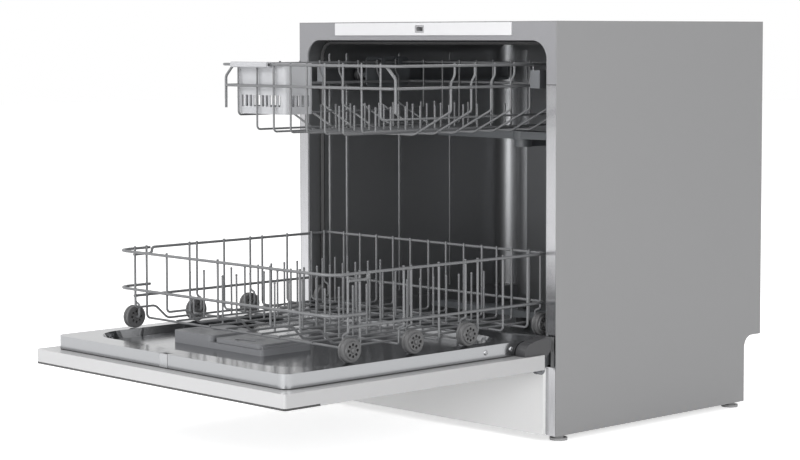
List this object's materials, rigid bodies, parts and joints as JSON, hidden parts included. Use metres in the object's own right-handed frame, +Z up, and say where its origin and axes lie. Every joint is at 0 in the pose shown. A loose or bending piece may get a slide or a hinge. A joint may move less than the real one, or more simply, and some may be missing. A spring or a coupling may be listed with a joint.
{
  "type": "countertop dishwasher",
  "caption": "Front-opening dishwasher with its door folded down and two wire racks drawn out on wheels and rollers, with a tub, spray arms and wash parts.",
  "frame": {"origin": "on the floor, under the middle of the open machine's footprint", "axes": "+X to the machine's right seen from the front, +Y from the open door into the cabinet, +Z up"},
  "size_m": [0.6, 1.062, 0.65],
  "materials": {
    "cabinet_paint": "satin grey enamel",
    "galvanised_sheet": "matt zinc-coated sheet",
    "door_paint": "satin pale grey enamel",
    "polished_steel": "polished stainless steel",
    "liner_steel": "bright rolled stainless steel",
    "tub_steel": "bright rolled stainless steel",
    "zinc_steel": "zinc plated",
    "coated_wire": "steel wire in smooth grey nylon coating",
    "wheel_plastic": "moulded",
    "roller_plastic": "moulded",
    "grey_plastic": "moulded",
    "arm_plastic": "moulded",
    "pale_plastic": "moulded, slight sheen",
    "dispenser_plastic": "moulded, fine texture",
    "dark_plastic": "moulded",
    "black_gloss": "gloss",
    "button_metal": "satin",
    "seal_rubber": "matt",
    "board_laminate": "green laminate"
  },
  "bodies": {
    "cabinet": {"side_panel_left": "cabinet_paint", "side_panel_right": "cabinet_paint", "top_panel": "cabinet_paint", "back_panel": "galvanised_sheet", "base_tray": "dark_plastic", "plinth_panel": "door_paint", "levelling_feet": "dark_plastic", "front_frame": "polished_steel", "crossbar_cover": "pale_plastic", "door_catch": "dark_plastic", "tub": "tub_steel", "tub_gasket": "seal_rubber", "sill_seal": "seal_rubber", "upper_rails": "zinc_steel", "sump": "dark_plastic", "filter_plate": "tub_steel", "feed_pipe": "grey_plastic", "wash_pump": "dark_plastic", "drain_pump": "dark_plastic", "inlet_valve": "pale_plastic", "cable_gland": "dark_plastic", "salt_container": "grey_plastic", "hinge_brackets": "zinc_steel"},
    "door": {"door_outer_panel": "door_paint", "control_fascia": "black_gloss", "control_board": "board_laminate", "door_edge_seal": "seal_rubber", "door_liner": "liner_steel", "corner_seals": "seal_rubber", "door_latch": "pale_plastic", "dispenser_body": "dispenser_plastic", "hinge_arms": "zinc_steel"},
    "lower_rack": {"lower_rack": "coated_wire"},
    "upper_rack": {"upper_rack": "coated_wire", "roller_brackets": "grey_plastic", "cutlery_basket": "grey_plastic", "rack_grip": "grey_plastic"},
    "filter_cartridge": {"filter_cartridge": "grey_plastic"},
    "salt_cap": {"salt_cap": "grey_plastic"},
    "float": {"float": "grey_plastic"},
    "lower_spray_arm": {"lower_spray_arm": "arm_plastic"},
    "upper_spray_arm": {"upper_spray_arm": "arm_plastic"},
    "dispenser_lid": {"dispenser_lid": "dispenser_plastic"},
    "rinse_aid_cap": {"rinse_aid_cap": "dispenser_plastic"},
    "power_button": {"power_button": "button_metal"},
    "start_button": {"start_button": "button_metal"},
    "wheel_left_1": {"wheel_left_1": "wheel_plastic"},
    "wheel_left_2": {"wheel_left_2": "wheel_plastic"},
    "wheel_left_3": {"wheel_left_3": "wheel_plastic"},
    "wheel_left_4": {"wheel_left_4": "wheel_plastic"},
    "wheel_right_1": {"wheel_right_1": "wheel_plastic"},
    "wheel_right_2": {"wheel_right_2": "wheel_plastic"},
    "wheel_right_3": {"wheel_right_3": "wheel_plastic"},
    "wheel_right_4": {"wheel_right_4": "wheel_plastic"},
    "roller_left_1": {"roller_left_1": "roller_plastic"},
    "roller_left_2": {"roller_left_2": "roller_plastic"},
    "roller_right_1": {"roller_right_1": "roller_plastic"},
    "roller_right_2": {"roller_right_2": "roller_plastic"}
  },
  "joints": [
    {"name": "door_hinge", "type": "hinge", "parent": "cabinet", "child": "door", "pos_m": [0, -0.008, 0.1155], "axis": [-1, 0, 0], "range_deg": [0, 0.05]},
    {"name": "lower_rack_slide", "type": "slide", "parent": "cabinet", "child": "lower_rack", "axis": [0, 1, 0], "range_m": [-0.08, 0.438]},
    {"name": "upper_rack_slide", "type": "slide", "parent": "cabinet", "child": "upper_rack", "axis": [0, 1, 0], "range_m": [-0.075, 0.275]},
    {"name": "lower_arm_spin", "type": "hinge", "parent": "cabinet", "child": "lower_spray_arm", "pos_m": [0, 0.261, 0.15], "axis": [0, 0, 1], "continuous": true},
    {"name": "upper_arm_spin", "type": "hinge", "parent": "cabinet", "child": "upper_spray_arm", "pos_m": [0, 0.261, 0.455], "axis": [0, 0, 1], "continuous": true},
    {"name": "dispenser_lid_slide", "type": "slide", "parent": "door", "child": "dispenser_lid", "axis": [0, 1, 0], "range_m": [0, 0.045]},
    {"name": "rinse_cap_turn", "type": "hinge", "parent": "door", "child": "rinse_aid_cap", "pos_m": [-0.108, -0.306, 0.168], "axis": [0, 0, 1], "range_deg": [0, 90]},
    {"name": "power_button_press", "type": "slide", "parent": "door", "child": "power_button", "axis": [0, 0, 1], "range_m": [0, 0.0015], "stiffness_N_per_m": 600},
    {"name": "start_button_press", "type": "slide", "parent": "door", "child": "start_button", "axis": [0, 0, 1], "range_m": [0, 0.0015], "stiffness_N_per_m": 600},
    {"name": "filter_turn", "type": "hinge", "parent": "cabinet", "child": "filter_cartridge", "pos_m": [0.075, 0.261, 0.129], "axis": [0, 0, 1], "range_deg": [0, 90]},
    {"name": "salt_cap_turn", "type": "hinge", "parent": "cabinet", "child": "salt_cap", "pos_m": [-0.16, 0.146, 0.135], "axis": [0, 0, 1], "range_deg": [0, 180]},
    {"name": "float_slide", "type": "slide", "parent": "cabinet", "child": "float", "axis": [0, 0, 1], "range_m": [0, 0.004]},
    {"name": "wheel_left_1_spin", "type": "hinge", "parent": "lower_rack", "child": "wheel_left_1", "pos_m": [-0.257, -0.373, 0.1796], "axis": [1, 0, 0], "range_deg": [-1400, 260]},
    {"name": "wheel_left_2_spin", "type": "hinge", "parent": "lower_rack", "child": "wheel_left_2", "pos_m": [-0.257, -0.248, 0.1796], "axis": [1, 0, 0], "range_deg": [-1400, 260]},
    {"name": "wheel_left_3_spin", "type": "hinge", "parent": "lower_rack", "child": "wheel_left_3", "pos_m": [-0.257, -0.135, 0.1796], "axis": [1, 0, 0], "range_deg": [-1400, 260]},
    {"name": "wheel_left_4_spin", "type": "hinge", "parent": "lower_rack", "child": "wheel_left_4", "pos_m": [-0.257, 0.03, 0.1796], "axis": [1, 0, 0], "range_deg": [-1400, 260]},
    {"name": "roller_left_1_spin", "type": "hinge", "parent": "upper_rack", "child": "roller_left_1", "pos_m": [-0.2485, 0.111, 0.56], "axis": [1, 0, 0], "range_deg": [-1320, 365]},
    {"name": "roller_left_2_spin", "type": "hinge", "parent": "upper_rack", "child": "roller_left_2", "pos_m": [-0.2485, 0.171, 0.56], "axis": [1, 0, 0], "range_deg": [-1320, 365]},
    {"name": "wheel_right_1_spin", "type": "hinge", "parent": "lower_rack", "child": "wheel_right_1", "pos_m": [0.257, -0.373, 0.1796], "axis": [1, 0, 0], "range_deg": [-1400, 260]},
    {"name": "wheel_right_2_spin", "type": "hinge", "parent": "lower_rack", "child": "wheel_right_2", "pos_m": [0.257, -0.248, 0.1796], "axis": [1, 0, 0], "range_deg": [-1400, 260]},
    {"name": "wheel_right_3_spin", "type": "hinge", "parent": "lower_rack", "child": "wheel_right_3", "pos_m": [0.257, -0.135, 0.1796], "axis": [1, 0, 0], "range_deg": [-1400, 260]},
    {"name": "wheel_right_4_spin", "type": "hinge", "parent": "lower_rack", "child": "wheel_right_4", "pos_m": [0.257, 0.03, 0.1796], "axis": [1, 0, 0], "range_deg": [-1400, 260]},
    {"name": "roller_right_1_spin", "type": "hinge", "parent": "upper_rack", "child": "roller_right_1", "pos_m": [0.2485, 0.111, 0.56], "axis": [1, 0, 0], "range_deg": [-1320, 365]},
    {"name": "roller_right_2_spin", "type": "hinge", "parent": "upper_rack", "child": "roller_right_2", "pos_m": [0.2485, 0.171, 0.56], "axis": [1, 0, 0], "range_deg": [-1320, 365]}
  ],
  "couplings": [
    {"joint": "wheel_left_1_spin", "follows": "lower_rack_slide", "rad_per_m": -55.556},
    {"joint": "wheel_left_2_spin", "follows": "lower_rack_slide", "rad_per_m": -55.556},
    {"joint": "wheel_left_3_spin", "follows": "lower_rack_slide", "rad_per_m": -55.556},
    {"joint": "wheel_left_4_spin", "follows": "lower_rack_slide", "rad_per_m": -55.556},
    {"joint": "roller_left_1_spin", "follows": "upper_rack_slide", "rad_per_m": -83.333},
    {"joint": "roller_left_2_spin", "follows": "upper_rack_slide", "rad_per_m": -83.333},
    {"joint": "wheel_right_1_spin", "follows": "lower_rack_slide", "rad_per_m": -55.556},
    {"joint": "wheel_right_2_spin", "follows": "lower_rack_slide", "rad_per_m": -55.556},
    {"joint": "wheel_right_3_spin", "follows": "lower_rack_slide", "rad_per_m": -55.556},
    {"joint": "wheel_right_4_spin", "follows": "lower_rack_slide", "rad_per_m": -55.556},
    {"joint": "roller_right_1_spin", "follows": "upper_rack_slide", "rad_per_m": -83.333},
    {"joint": "roller_right_2_spin", "follows": "upper_rack_slide", "rad_per_m": -83.333}
  ]
}
